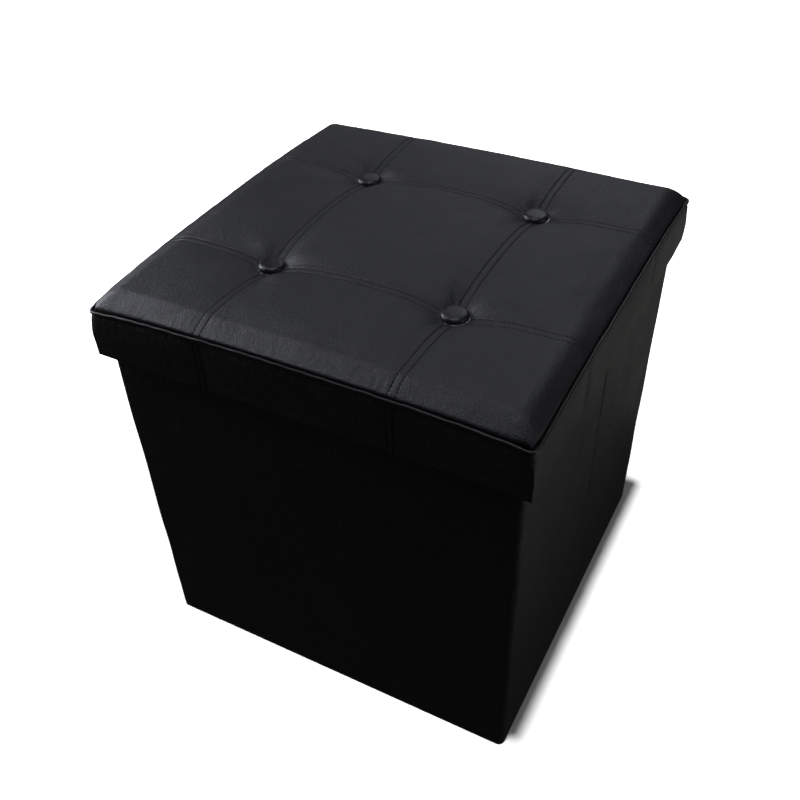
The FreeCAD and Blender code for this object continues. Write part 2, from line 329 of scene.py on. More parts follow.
def nonwoven(name, colour):
    """Spun-bonded lining: matted fibres pressed in a grid of small dots."""
    material, nodes, links, shader = new_material(name)
    where = nodes.new("ShaderNodeTexCoord").outputs["Object"]
    dots = nodes.new("ShaderNodeTexVoronoi")
    dots.inputs["Scale"].default_value = 420.0
    dots.inputs["Randomness"].default_value = 0.12
    links.new(where, dots.inputs["Vector"])
    dot_height = ramp(nodes, links, dots.outputs["Distance"], 0.18, 0.34, 0.0, 1.0)
    fibres = noise(nodes, links, where, Scale=1400.0, Detail=4.0, Roughness=0.7, Distortion=1.5)
    fibres = fibres.outputs["Fac"]
    cloud = noise(nodes, links, where, Scale=25.0, Detail=3.0).outputs["Fac"]
    patchy = ramp(nodes, links, cloud, 0.3, 0.7, 0.8, 1.3)
    two_tone(nodes, links, shader, colour, 0.6, 1.35, product(nodes, links, fibres, patchy))
    bumps(nodes, links, shader, (dot_height, 0.00025, 1.0), (fibres, 0.00012, 1.0))
    shader.inputs["Roughness"].default_value = 0.88
    shader.inputs["Specular IOR Level"].default_value = 0.25
    shader.inputs["Sheen Weight"].default_value = 0.15
    return material


def fibreboard(name, colour):
    """Bare medium density fibreboard."""
    material, nodes, links, shader = new_material(name)
    where = nodes.new("ShaderNodeTexCoord").outputs["Object"]
    fibres = noise(nodes, links, where, Scale=900.0, Detail=5.0, Roughness=0.7).outputs["Fac"]
    two_tone(nodes, links, shader, colour, 0.7, 1.3, fibres)
    bumps(nodes, links, shader, (fibres, 0.0002, 0.5))
    shader.inputs["Roughness"].default_value = 0.8
    return material


def steel(name, colour):
    """Plain drawn steel wire and pressed sheet."""
    material, nodes, links, shader = new_material(name)
    where = nodes.new("ShaderNodeTexCoord").outputs["Object"]
    marks = noise(nodes, links, where, Scale=700.0, Detail=3.0).outputs["Fac"]
    links.new(ramp(nodes, links, marks, 0.3, 0.7, 0.25, 0.42), shader.inputs["Roughness"])
    shader.inputs["Base Color"].default_value = (*colour, 1)
    shader.inputs["Metallic"].default_value = 1.0
    return material


LEATHER = leather("seat_leather", 0.42, grain=1.1, lift=0.00036)
# Walls, skirt and base wear the seat's leatherette with a darker colour, painted shade on the box's sides.
WALL_LEATHER = leather(
    "wall_leather", 0.44, SHADED_SIDE_BLACK, grain=1.6, wrinkle=1.6, clump=0.0038, lift=0.0009, tint=WARM_GLOSS
)
WELT_LEATHER = leather("welt_leather", 0.3, grain=0.4, lift=0.00012)
BUTTON_LEATHER = leather("button_leather", 0.25, grain=0.5, wrinkle=1.6, lift=0.00015)
THREAD = thread_material("black_thread", (0.003, 0.003, 0.0035))
LINING = nonwoven("black_lining", (0.04, 0.04, 0.043))
BOARD = fibreboard("raw_board", (0.42, 0.31, 0.2))
STEEL = steel("plain_steel", (0.6, 0.6, 0.62))
TWINE = thread_material("tufting_twine", (0.1, 0.1, 0.1))


# ---------------------------------------------------------------- seat surface


def edge_z(x, y):
    """Height of the lid's edge line, carried over the whole plan."""
    u = np.clip(np.abs(x) / LID_HALF[0], 0, 1)
    v = np.clip(np.abs(y) / LID_HALF[1], 0, 1)
    return EDGE_CORNER_Z + EDGE_RISE * (1 - (u * v) ** EDGE_POWER)


def soft_min(a, b, softness):
    """The smaller of two distances, rounded where they meet."""
    overlap = np.maximum(softness - np.abs(a - b), 0)
    return np.minimum(a, b) - overlap * overlap / (4 * softness)


def seam_section(s, row=SEAM_ROW):
    """Height across a twin-needle seam: a shallow valley, a raised allowance and two stitched grooves."""
    valley = -0.45 * bell(s, 10.0)
    allowance = 0.14 * bell(s, 2.4)
    grooves = -0.5 * bell(np.abs(s) - row, 0.65)
    return valley + allowance + grooves


PANEL_WAVES = ripple(3, 38, 110)
SMALL_WAVES = ripple(5, 9, 24)
EDGE_PUCKERS = ripple(7, 3.5, 9, 40)


def dimple(x, y):
    """How far the four buttons draw the seat down, with the fine pleats that run out of each."""
    down = np.zeros(np.broadcast(x, y).shape)
    for number, (_, sx, sy) in enumerate(BUTTONS):
        dx, dy = x - sx * SEAM, y - sy * SEAM
        r = np.hypot(dx, dy)
        angle = np.arctan2(dy, dx)
        along_seam = np.cos(2 * angle) ** 2
        reach = DIMPLE_REACH + DIMPLE_SEAM_REACH * along_seam
        out = np.maximum(r - DIMPLE_FLAT, 0)
        depth = DIMPLE_DEPTH * np.exp(-((out / reach) ** 1.1))
        pleats = np.zeros_like(depth)
        random = np.random.default_rng(40 + number)
        for waves in range(13, 40, 3):
            pleats += np.cos(waves * angle + random.uniform(0, 2 * math.pi))
        pleats *= PLEAT_HEIGHT * np.exp(-(((r - PLEATS_AT) / PLEATS_WIDTH) ** 2)) * (1 - 0.7 * along_seam)
        down += depth + pleats
    return down


def seat_z(x, y, sewn=True):
    """Height of the seat's leather at a place in plan; without sewn, only the padding's broad shape."""
    half_x, half_y = LID_HALF - SEAT_INSET
    dx, dy = half_x - np.abs(x), half_y - np.abs(y)
    edge = np.maximum(soft_min(dx, dy, ROLL_SOFTNESS), 0)
    u, v = np.clip(np.abs(x) / half_x, 0, 1), np.clip(np.abs(y) / half_y, 0, 1)
    low = edge_z(x, y) + TUCK_HEIGHT * (1 - np.exp(-edge / TUCK_WIDTH)) - TUCK_DROP
    top = CREST_Z + CROWN * (1 - u**CROWN_POWER) * (1 - v**CROWN_POWER)
    right = rise(x / half_x - np.abs(y) / half_y, -0.2, 0.2)
    t = 1 - np.clip(edge / (ROLL_WIDTH - RIGHT_ROLL_CUT * right), 0, 1)
    z = low + (top - low) * (1 - t * t)
    front = 0.35 + 0.65 * rise(-y / half_y - np.abs(x) / half_x, -0.25, 0.25)
    past_ridge = edge - RIDGE_AT
    ridge = RIDGE * front * bell(past_ridge, RIDGE_WIDTH)
    z = z + ridge + RIGHT_RIDGE * right * bell(past_ridge, RIGHT_RIDGE_WIDTH)
    if not sewn:
        return z - dimple(x, y)
    inner = rise(edge, 0, 10)
    seams = seam_section(np.abs(x) - SEAM) + seam_section(np.abs(y) - SEAM)
    z = z + seams * (0.6 + 0.4 * inner)
    z = z - dimple(x, y)
    z = z + inner * (0.16 * PANEL_WAVES(x, y) + 0.035 * SMALL_WAVES(x, y))
    along = np.where(dx < dy, y, x)
    z = z + 0.07 * EDGE_PUCKERS(along, edge * 0.25) * np.exp(-(((edge - 6) / 9) ** 2))
    return z


SETTLED = {}
FIRM_HOLD, SEAM_HOLD = 1.0, 0.35
PRESSURE = 0.45
FINE_SHARE = 0.4


def settled(x, y):
    """How far the simulated cover moved at a place in plan, read between its grid points."""
    if not SETTLED:
        return 0.0
    xs, ys, moved = SETTLED["x"], SETTLED["y"], SETTLED["moved"]
    gx = np.clip((x - xs[0]) / (xs[1] - xs[0]), 0, len(xs) - 1.001)
    gy = np.clip((y - ys[0]) / (ys[1] - ys[0]), 0, len(ys) - 1.001)
    i, j = gx.astype(int), gy.astype(int)
    fx, fy = (gx - i)[..., None], (gy - j)[..., None]
    near = moved[i, j] * (1 - fx) + moved[i + 1, j] * fx
    far = moved[i, j + 1] * (1 - fx) + moved[i + 1, j + 1] * fx
    return near * (1 - fy) + far * fy


def settle_cover(cell=5.0, frames=20, cap=5.0):
    """Runs a cloth simulation of the cover, blown up over its foam and held at edge, buttons and seams."""
    half_x, half_y = LID_HALF - SEAT_INSET
    xs = np.linspace(-half_x, half_x, int(2 * half_x / cell) + 1)
    ys = np.linspace(-half_y, half_y, int(2 * half_y / cell) + 1)
    x, y = np.meshgrid(xs, ys, indexing="ij")
    top = seat_point(x, y, sewn=False)
    rows, columns = x.shape
    faces = grid_faces(rows, columns)
    index = np.arange(rows * columns).reshape(rows, columns)
    ring = np.concatenate([index[:-1, 0], index[-1, :-1], index[:0:-1, -1], index[0, :0:-1]])
    under = top.reshape(-1, 3)[ring].copy()
    under[:, 2] = LID_BOARD_HIGH.z
    start = rows * columns
    for n in range(len(ring)):
        m = (n + 1) % len(ring)
        faces.append((ring[n], ring[m], start + m, start + n))
    faces.append(tuple(range(start, start + len(ring))))
    points = np.concatenate([top.reshape(-1, 3), under])
    mesh = bpy.data.meshes.new("cover_cloth")
    mesh.from_pydata((points * MM).tolist(), [], [tuple(int(k) for k in face) for face in faces])
    shell = bmesh.new()
    shell.from_mesh(mesh)
    bmesh.ops.recalc_face_normals(shell, faces=shell.faces)
    shell.to_mesh(mesh)
    shell.free()
    cloth = bpy.data.objects.new("cover_cloth", mesh)
    bpy.context.scene.collection.objects.link(cloth)

    edge = np.minimum(half_x - np.abs(x), half_y - np.abs(y))
    button = np.hypot(np.abs(x) - SEAM, np.abs(y) - SEAM)
    seam = np.minimum(np.abs(np.abs(x) - SEAM), np.abs(np.abs(y) - SEAM))
    hold = np.where(seam < cell * 0.75, SEAM_HOLD, 0.0)
    hold = np.where((edge < 3.5) | (button < BUTTON_RADIUS + 1.0), FIRM_HOLD, hold)
    group = cloth.vertex_groups.new(name="held")
    for weight in (SEAM_HOLD, FIRM_HOLD):
        group.add([int(n) for n in np.flatnonzero(hold.ravel() == weight)], weight, "REPLACE")
    group.add(list(range(start, len(points))), 1.0, "REPLACE")

    modifier = cloth.modifiers.new("cloth", "CLOTH")
    settings = modifier.settings
    settings.quality = 5
    settings.mass = 0.4
    settings.tension_stiffness = 20
    settings.compression_stiffness = 20
    settings.shear_stiffness = 8
    settings.bending_stiffness = 0.4
    settings.vertex_group_mass = "held"
    settings.pin_stiffness = 1.0
    settings.use_pressure = True
    settings.uniform_pressure_force = PRESSURE
    settings.shrink_min = -0.001
    settings.effector_weights.gravity = 0
    modifier.collision_settings.use_collision = False
    modifier.point_cache.frame_start = 1
    modifier.point_cache.frame_end = frames
    scene = bpy.context.scene
    for frame_number in range(1, frames + 1):
        scene.frame_set(frame_number)
    shaped = cloth.evaluated_get(bpy.context.evaluated_depsgraph_get())
    after = np.zeros(len(points) * 3)
    shaped.data.vertices.foreach_get("co", after)
    scene.frame_set(1)
    bpy.data.objects.remove(cloth)
    moved = (after.reshape(-1, 3)[: rows * columns] / MM - top.reshape(-1, 3)).reshape(rows, columns, 3)
    broad = moved.copy()
    for _ in range(3):
        beside = broad[2:, 1:-1] + broad[:-2, 1:-1] + broad[1:-1, 2:] + broad[1:-1, :-2]
        inner = broad[1:-1, 1:-1] * 4 + 2 * beside
        inner += broad[2:, 2:] + broad[:-2, 2:] + broad[2:, :-2] + broad[:-2, :-2]
        broad[1:-1, 1:-1] = inner / 16
    moved = broad + FINE_SHARE * (moved - broad)
    length = np.linalg.norm(moved, axis=-1, keepdims=True)
    moved = moved * np.minimum(1, cap / np.maximum(length, 1e-6))
    SETTLED.update(x=xs, y=ys, moved=moved)


def seat_point(x, y, sewn=True):
    """A point on the seat's leather, with the foot of the side roll swelling out over the welt."""
    half_x, half_y = LID_HALF - SEAT_INSET
    dx, dy = half_x - np.abs(x), half_y - np.abs(y)

    def swell(distance):
        share = distance / BULGE_AT
        return BULGE * share * np.exp(1 - share)

    z = seat_z(x, y, sewn)
    in_x, in_y = np.maximum(SEAT_CORNER - dx, 0), np.maximum(SEAT_CORNER - dy, 0)
    deeper = np.maximum(in_x, in_y)
    turned = CORNER_TURN * (1 - deeper / np.maximum(np.hypot(in_x, in_y), 1e-9)) * (deeper > 0)
    out_x, out_y = swell(dx) - in_x * turned, swell(dy) - in_y * turned
    points = np.stack([x + np.sign(x) * out_x, y + np.sign(y) * out_y, z], -1)
    return points + settled(x, y) if sewn else points


def graded(half, seam, fine=0.5, coarse=2.1, roll_steps=22):
    """Grid lines from -half to half: close at the seams and down the side rolls."""
    turn = np.linspace(0, math.pi / 2, roll_steps + 1)
    outer = half - ROLL_WIDTH * (1 - np.cos(turn))
    lines = list(-outer[:-1])
    x = -outer[-1]
    while x < 0:
        lines.append(x)
        near = abs(abs(x) - seam)
        x += fine if near < 5.5 else 0.8 if near < 14.5 else min(coarse, 0.8 + (near - 14.5) * 0.22)
    lines = np.array(lines)
    lines = lines[lines < -0.4]
    return np.concatenate([lines, [0.0], -lines[::-1]])


def build_seat():
    """The padded top: nine panels of leather in one sewn cover, closed underneath."""
    half_x, half_y = LID_HALF - SEAT_INSET
    xs, ys = graded(half_x, SEAM), graded(half_y, SEAM)
    x, y = np.meshgrid(xs, ys, indexing="ij")
    top = seat_point(x, y)
    rows, columns = x.shape
    faces = grid_faces(rows, columns)
    index = np.arange(rows * columns).reshape(rows, columns)
    ring = np.concatenate([index[:-1, 0], index[-1, :-1], index[:0:-1, -1], index[0, :0:-1]])
    points = [top.reshape(-1, 3)]
    floor_z = LID_BOARD_HIGH.z + 0.2
    start = rows * columns
    previous = ring
    for inset, share in ((1.2, 0.0), (1.6, 1.0)):
        loop = top.reshape(-1, 3)[ring].copy()
        loop[:, 0] *= 1 - inset / half_x
        loop[:, 1] *= 1 - inset / half_y
        loop[:, 2] = (1 - share) * (loop[:, 2] - 0.8) + share * floor_z
        points.append(loop)
        current = start + np.arange(len(ring))
        for n in range(len(ring)):
            m = (n + 1) % len(ring)
            faces.append((previous[n], previous[m], current[m], current[n]))
        previous = current
        start += len(ring)
    faces.append(tuple(int(n) for n in previous))
    piece = make("seat_cover", np.concatenate(points), faces, LEATHER, "lid", sharp=80)
    panels = [n for n in frame["nodes"] if n.startswith("top_panel_")]
    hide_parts("seat_foam", *sorted(panels))


# ---------------------------------------------------------------- lid's outline, welt and skirt

CORNER_RADIUS = 9.0
CORNER_STEPS = 12
WELT_SHARPNESS, HEM_SHARPNESS = 0.25, 0.95
LEAST_OUT = -0.85
HEM_RADIUS = 1.6
HEM_DROOP, HEM_DROOP_WIDTH = 2.0, 22.0
ALLOWANCE = 7.0
INNER_SHARPNESS = 0.1


def side_lines(half, seam):
    """Places along a straight side, close together at the seams."""
    reach = half - CORNER_RADIUS
    lines = []
    x = -reach
    while x < reach:
        lines.append(x)
        near = abs(abs(x) - seam)
        x += 0.65 if near < 7.5 else min(3.0, 0.65 + (near - 7.5) * 0.3)
    return np.array(lines)


def lid_columns():
    """The lid's rounded outline as columns: centre of turn, direction out, place along the side, half side."""
    centres, normals, along, halves = [], [], [], []
    for side in range(4):
        turn = side * math.pi / 2
        half, across = LID_HALF if side % 2 == 0 else LID_HALF[::-1]
        lines = side_lines(half, SEAM)
        for a in lines:
            centres.append((turn, a, -(across - CORNER_RADIUS)))
            normals.append(turn - math.pi / 2)
            along.append(a)
            halves.append(half)
        for step in range(CORNER_STEPS):
            centres.append((turn, half - CORNER_RADIUS, -(across - CORNER_RADIUS)))
            normals.append(turn - math.pi / 2 + step / CORNER_STEPS * math.pi / 2)
            along.append(half)
            halves.append(half)
    turn, a, b = np.array(centres).T
    centre = np.stack([a * np.cos(turn) - b * np.sin(turn), a * np.sin(turn) + b * np.cos(turn)], -1)
    angle = np.array(normals)
    normal = np.stack([np.cos(angle), np.sin(angle)], -1)
    return centre, normal, np.array(along), np.array(halves)


CENTRE, NORMAL, ALONG, HALF = lid_columns()
EDGE = CENTRE + NORMAL * CORNER_RADIUS
STEP = np.linalg.norm(np.roll(EDGE, -1, 0) - EDGE, axis=1)
TRAVEL = np.concatenate([[0], np.cumsum(STEP)[:-1]])


def outline(offset, sharpness):
    """The lid's outline moved outwards by offset; sharpness draws the rounded corners out to points."""
    round_line = CENTRE + NORMAL * (CORNER_RADIUS + offset)
    corner = CENTRE + np.sign(NORMAL) * (CORNER_RADIUS + offset) * (np.abs(NORMAL) > 1e-6)
    weight = np.minimum(np.abs(NORMAL[:, 0]), np.abs(NORMAL[:, 1])) * math.sqrt(2)
    pull = (sharpness * weight**0.5)[:, None]
    return round_line * (1 - pull) + corner * pull


def build_welt():
    """The narrow raised edge where top and skirt are sewn together, pinched to a point at each corner."""
    section = np.linspace(0, 2 * math.pi, 13)[:-1]
    wander = ripple(21, 12, 60)
    line = outline(0, WELT_SHARPNESS)
    corner_near = np.exp(-((np.abs(np.abs(ALONG) - HALF) / 9.0) ** 2))
    z = edge_z(line[:, 0], line[:, 1]) + 0.7 + 0.14 * wander(TRAVEL, 0) - 0.4 * corner_near
    rows = []
    for angle in section:
        out = 1.35 * math.cos(angle) - 0.55 - 0.4 * corner_near
        up = 1.3 * math.sin(angle)
        ring = line + NORMAL * out[:, None]
        ring = ring + NORMAL * (0.15 * wander(TRAVEL, 30))[:, None]
        rows.append(np.column_stack([ring, z + up]))
    points = np.stack(rows, 1)
    faces = [face[::-1] for face in grid_faces(len(line), len(section), True, True)]
    piece = make("edge_welt_cord", points, faces, WELT_LEATHER, "lid", sharp=80)
    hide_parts("edge_welt")


SKIRT_WAVES = ripple(23, 26, 90)
HEM_WAVES = ripple(25, 40, 120)


def skirt_line(depth, offset, sharpness):
    """One level of the skirt's outer face: depth is 0 at the welt and 1 at the lower edge."""
    line = outline(0, sharpness)
    top = edge_z(line[:, 0], line[:, 1]) - 0.6
    seam = seam_section(np.abs(ALONG) - SEAM, SKIRT_SEAM_ROW) * 0.9
    seam[np.abs(ALONG) >= HALF - 1e-6] = 0
    waves = 0.13 * SKIRT_WAVES(TRAVEL, depth * 46)
    out = offset + seam * rise(depth, 0, 0.12) + waves * rise(depth, 0.0, 0.25)
    out = np.maximum(out, LEAST_OUT)
    near_corner = bell(np.hypot(line[:, 0] - LID_HALF[0], line[:, 1] + LID_HALF[1]), HEM_DROOP_WIDTH)
    hem = 0.18 * HEM_WAVES(TRAVEL, 0) - HEM_DROOP * near_corner
    z = top + (SKIRT_BOTTOM + hem + HEM_RADIUS - top) * depth
    return np.column_stack([line + NORMAL * out[:, None], z])


def skirt_face(depth):
    """One level of the skirt, tucked in under the welt and filling out a little halfway down."""
    offset = -0.8 + 1.0 * float(rise(depth, 0, 0.16)) + 0.35 * math.sin(math.pi * depth) - 0.15 * depth
    sharpness = WELT_SHARPNESS + (HEM_SHARPNESS - WELT_SHARPNESS) * float(rise(depth, 0, 0.6))
    return skirt_line(depth, offset, sharpness)


def build_skirt():
    """The skirt: leather down from the welt, round the lower edge, up the inside and over the boards' tops."""
    levels = []
    for depth in np.concatenate([[0, 0.03, 0.07, 0.12], np.linspace(0.18, 1, 14)]):
        levels.append(skirt_face(depth))
    last = levels[-1]
    for turn in np.linspace(0, math.pi / 2, 5)[1:]:
        level = last.copy()
        level[:, :2] -= NORMAL * HEM_RADIUS * (1 - math.cos(turn))
        level[:, 2] -= HEM_RADIUS * math.sin(turn)
        levels.append(level)
    under = levels[-1]
    lining_z = LID_LINING_LOW.z + 0.3
    for out, up in ((SKIRT_THICK - 1.0, 0.0), (SKIRT_THICK - 0.3, 0.3), (SKIRT_THICK, 1.0)):
        level = under.copy()
        level[:, :2] = outline(-out, INNER_SHARPNESS)
        level[:, 2] += up
        levels.append(level)
    for z in (SKIRT_BOTTOM + 8, SKIRT_BOTTOM + 20, lining_z):
        level = levels[-1].copy()
        level[:, 2] = z
        levels.append(level)
    closing = levels[-1].copy()
    closing[:, :2] = outline(-SKIRT_THICK + 1.0, INNER_SHARPNESS)
    levels.append(closing)
    inside_top = levels[0].copy()
    allowance = inside_top.copy()
    allowance[:, :2] = outline(-ALLOWANCE, INNER_SHARPNESS)
    allowance[:, 2] -= 1.0
    inside_top[:, :2] = outline(-1.6, WELT_SHARPNESS)
    levels.extend([allowance, inside_top])
    points = np.stack(levels, 0)
    faces = [face[::-1] for face in grid_faces(len(levels), len(CENTRE), True, True)]
    piece = make("skirt_leather", points, faces, WALL_LEATHER, "lid", sharp=55)
    facings = [n for n in frame["nodes"] if n.startswith("skirt_") and not n.startswith("skirt_board")]
    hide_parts(*sorted(facings))


# ---------------------------------------------------------------- stitches


def stitches(line, up, length=2.5, gap=0.9, radius=0.42):
    """Separate thread stitches along a line of points, each dipping into the leather at both ends."""
    line, up = np.asarray(line), np.asarray(up)
    travel = np.concatenate([[0], np.cumsum(np.linalg.norm(np.diff(line, axis=0), axis=1))])
    total = travel[-1]
    count = int(total // (length + gap))
    slack = (total - count * (length + gap)) / 2
    sides = 6
    points, faces = [], []
    for n in range(count):
        begin = slack + n * (length + gap)
        shares = np.array([0.0, 0.12, 0.5, 0.88, 1.0])
        sunk = np.array([-0.75, -0.05, 0.12, -0.05, -0.75])
        size = np.array([0.6, 1.0, 1.05, 1.0, 0.6]) * radius
        at = begin + shares * length
        centre = np.stack([np.interp(at, travel, line[:, k]) for k in range(3)], -1)
        lift = np.stack([np.interp(at, travel, up[:, k]) for k in range(3)], -1)
        lift /= np.linalg.norm(lift, axis=1)[:, None]
        ahead = centre[-1] - centre[0]
        ahead /= np.linalg.norm(ahead)
        side = np.cross(ahead, lift)
        centre = centre + lift * sunk[:, None] * radius * 1.4
        first = len(points) * len(shares) * sides
        angle = np.arange(sides) / sides * 2 * math.pi
        ring = np.cos(angle)[None, :, None] * side[:, None, :]
        ring = ring + np.sin(angle)[None, :, None] * lift[:, None, :]
        points.append(centre[:, None, :] + ring * size[:, None, None])
        for face in grid_faces(len(shares), sides, wrap_columns=True):
            faces.append(tuple(first + k for k in face))
        faces.append(tuple(first + k for k in range(sides))[::-1])
        faces.append(tuple(first + (len(shares) - 1) * sides + k for k in range(sides)))
    return np.concatenate(points).reshape(-1, 3), faces


def join_parts(parts):
    """Several (points, faces) pairs as one."""
    points, faces, start = [], [], 0
    for some_points, some_faces in parts:
        points.append(some_points)
        faces.extend(tuple(start + n for n in face) for face in some_faces)
        start += len(some_points)
    return np.concatenate(points), faces


def seat_row(fixed, along_x, low, high):
    """A stitch row on the seat between two places, and the surface's outward direction along it."""
    steps = np.arange(low, high, 0.8)
    place = np.full_like(steps, fixed)
    x, y = (steps, place) if along_x else (place, steps)
    line = seat_point(x, y)
    small = 0.4
    across_x = seat_point(x + small, y) - seat_point(x - small, y)
    across_y = seat_point(x, y + small) - seat_point(x, y - small)
    up = np.cross(across_x, across_y)
    return line, up


def build_stitching():
    """Twin rows of thread on both sides of every seam of the seat and of the skirt."""
    parts = []
    half_x, half_y = LID_HALF - SEAT_INSET
    stop = STITCH_STOP
    for along_x, half in ((True, half_x), (False, half_y)):
        edge = half - 0.8
        spans = ((-edge, -SEAM - stop), (-SEAM + stop, SEAM - stop), (SEAM + stop, edge))
        for seam in (-SEAM, SEAM):
            for row in (-SEAM_ROW, SEAM_ROW):
                for low, high in spans:
                    parts.append(stitches(*seat_row(seam + row, along_x, low, high)))
    piece = make("seat_stitching", *join_parts(parts), THREAD, "lid", sharp=80)

    parts = []
    depths = np.linspace(0.03, 0.97, 40)
    levels = np.stack([skirt_face(depth) for depth in depths])
    on_side = np.abs(ALONG) < HALF - CORNER_RADIUS - 0.1
    side_start = np.flatnonzero(np.diff(np.concatenate([[False], on_side])) & on_side)
    row = SKIRT_SEAM_ROW
    for start in side_start:
        for place in (-SEAM - row, -SEAM + row, SEAM - row, SEAM + row):
            column = start + int(np.argmin(np.abs(ALONG[start:start + 200] - place)))
            line = levels[:, column]
            up = np.column_stack([np.repeat(NORMAL[column][None], len(depths), 0), np.zeros(len(depths))])
            parts.append(stitches(line, up))
    piece = make("skirt_stitching", *join_parts(parts), THREAD, "lid", sharp=80)


# ---------------------------------------------------------------- buttons


# A button's outline from the middle of its top to the gathered underside, as (radius, height).
BUTTON_SECTION = (
    (0.0, 6.2),
    (3.0, 6.1),
    (5.8, 5.9),
    (8.0, 5.5),
    (9.4, 4.9),
    (10.3, 4.1),
    (11.0, 2.9),
    (11.4, 1.6),
    (11.6, 0.2),
    (11.5, -1.2),
    (11.2, -2.6),
    (10.6, -4.0),
    (9.6, -5.2),
)


def build_buttons():
    """Four covered buttons: domed leather drawn over a shell and gathered under the rim."""
    around = 72
    section = np.array(BUTTON_SECTION)
    steps = np.linspace(0, len(section) - 1, 40)
    radius = np.interp(steps, np.arange(len(section)), section[:, 0])
    height = np.interp(steps, np.arange(len(section)), section[:, 1])
    for _ in range(3):
        radius[1:-1] = (radius[:-2] + 2 * radius[1:-1] + radius[2:]) / 4
        height[1:-1] = (height[:-2] + 2 * height[1:-1] + height[2:]) / 4
    angle = np.arange(around) / around * 2 * math.pi
    dome = BUTTON_RADIUS / 13.0
    for number, (place, sx, sy) in enumerate(BUTTONS):
        random = np.random.default_rng(60 + number)
        pleats = sum(np.cos(k * angle + random.uniform(0, 6.28)) for k in (11, 14, 17, 23)) / 2
        low = rise(radius, 9.5, 12.8)[:, None]
        r = radius[:, None] * (1 + 0.006 * pleats * low)
        lean = random.uniform(-0.02, 0.02, 2)
        x = r * np.cos(angle) * dome
        y = r * np.sin(angle) * dome
        dent = -0.25 * bell(np.hypot(x - 1.0, y + 0.5), 5.0)
        z = height[:, None] + dent + lean[0] * x + lean[1] * y
        middle = (sx * SEAM + BUTTON_SHIFT[0], sy * SEAM + BUTTON_SHIFT[1], BUTTON_TOP - BUTTON_SINK)
        points = np.stack([middle[0] + x, middle[1] + y, middle[2] + z], -1)
        faces = [face[::-1] for face in grid_faces(len(radius), around, wrap_columns=True)]
        faces.append(tuple((len(radius) - 1) * around + n for n in range(around))[::-1])
        piece = make(f"button_{place}", points, faces, BUTTON_LEATHER, "lid", sharp=80)
        if number == 0:
            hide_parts("button_covers")


# ---------------------------------------------------------------- box walls

WALL_WAVES = ripple(31, 60, 170)
RIM_RADIUS = 1.9
FOOT_RADIUS = 1.2
INNER_V = 0.9
LIP_PROUD = 0.35


def wall_section(bottom):
    """The closed section of a wall's skin as (outwards, up) points, and which lie on the outer face."""
    points, outer = [], []
    thick = WALL_THICK

    def put(v, w, on_face=False):
        points.append((v, w))
        outer.append(on_face)

    put(thick - FOOT_RADIUS, bottom)
    for turn in np.linspace(0, math.pi / 2, 4)[1:]:
        put(thick - FOOT_RADIUS * (1 - math.sin(turn)), bottom + FOOT_RADIUS * (1 - math.cos(turn)))
    for w in np.linspace(bottom + FOOT_RADIUS, RIM_Z - RIM_RADIUS, 32)[1:]:
        put(thick, w, True)
    for turn in np.linspace(0, math.pi / 2, 6)[1:]:
        put(thick - RIM_RADIUS * (1 - math.cos(turn)), RIM_Z - RIM_RADIUS * (1 - math.sin(turn)))
    inside = -LIP_PROUD
    put(inside + RIM_RADIUS, RIM_Z)
    for turn in np.linspace(0, math.pi / 2, 5)[1:]:
        put(inside + RIM_RADIUS * (1 - math.sin(turn)), RIM_Z - RIM_RADIUS * (1 - math.cos(turn)))
    put(inside, LIP_Z + 8)
    put(inside, LIP_Z + 0.3)
    put(inside + 0.3, LIP_Z)
    put(INNER_V, LIP_Z)
    put(INNER_V, bottom + 0.4)
    put(INNER_V + 0.6, bottom)
    return np.array(points), np.array(outer)


def sweep(name, stations, bottom, push):
    """A wall skin swept along stations of (x, y, normal x, normal y); push moves the outer face in or out."""
    section, outer = wall_section(bottom)
    stations = np.array(stations)
    origin, normal = stations[:, None, :2], stations[:, None, 2:4]
    v = np.repeat(section[None, :, 0], len(stations), 0)
    w = np.repeat(section[None, :, 1], len(stations), 0)
    plan = origin + normal * v[..., None]
    v = v + np.where(outer[None, :], push(plan[..., 0], plan[..., 1], w), 0)
    plan = origin + normal * v[..., None]
    points = np.concatenate([plan, w[..., None]], -1)
    rows, columns = len(stations), len(section)
    faces = grid_faces(rows, columns, wrap_columns=True)
    faces.append(tuple(range(columns))[::-1])
    faces.append(tuple((rows - 1) * columns + n for n in range(columns)))
    return make(name, points, faces, WALL_LEATHER, sharp=45)


def face_waves(x, y, z):
    """Slight unevenness of leather stretched over board, still at the rim and the foot."""
    calm = rise(z, WALL_LOW.z, WALL_LOW.z + 30) * (1 - rise(z, RIM_Z - 40, RIM_Z - 10))
    along = x + y * 1.37
    return 0.22 * WALL_WAVES(along, z) * calm


def crease_section(distance):
    """Height across the side wall's fold line: a groove between two soft shoulders."""
    return -1.5 * bell(distance, 1.8) + 0.25 * bell(np.abs(distance) - 4.4, 2.4)


HINGE_X, HINGE_Y = joint_mm("fold").xy
CORNER_FLAT = 7.0
CREASE_FLAT = 9.0
CREASE_STEP = 0.5
CREASE_GAP = 0.35

# The box's corners as (name, side in x, side in y, body across, body along the side).
CORNERS = (
    ("front_right", 1, -1, "front_wall", "right_front_half"),
    ("front_left", -1, -1, "front_wall", "left_front_half"),
    ("back_right", 1, 1, "back_wall", "right_rear_half"),
    ("back_left", -1, 1, "back_wall", "left_rear_half"),
)


def straight(start, end, normal, step=9.0):
    """Stations along a straight wall."""
    start, end = np.array(start, float), np.array(end, float)
    count = max(2, int(np.linalg.norm(end - start) / step) + 1)
    return [(*(start + (end - start) * t), *normal) for t in np.linspace(0, 1, count)]


def crease_stations(x, normal_x, low, high):
    """Stations close together across the fold line, from one depth to another."""
    count = int((high - low) / CREASE_STEP) + 1
    return [(x, y, normal_x, 0) for y in np.linspace(low, high, count)]


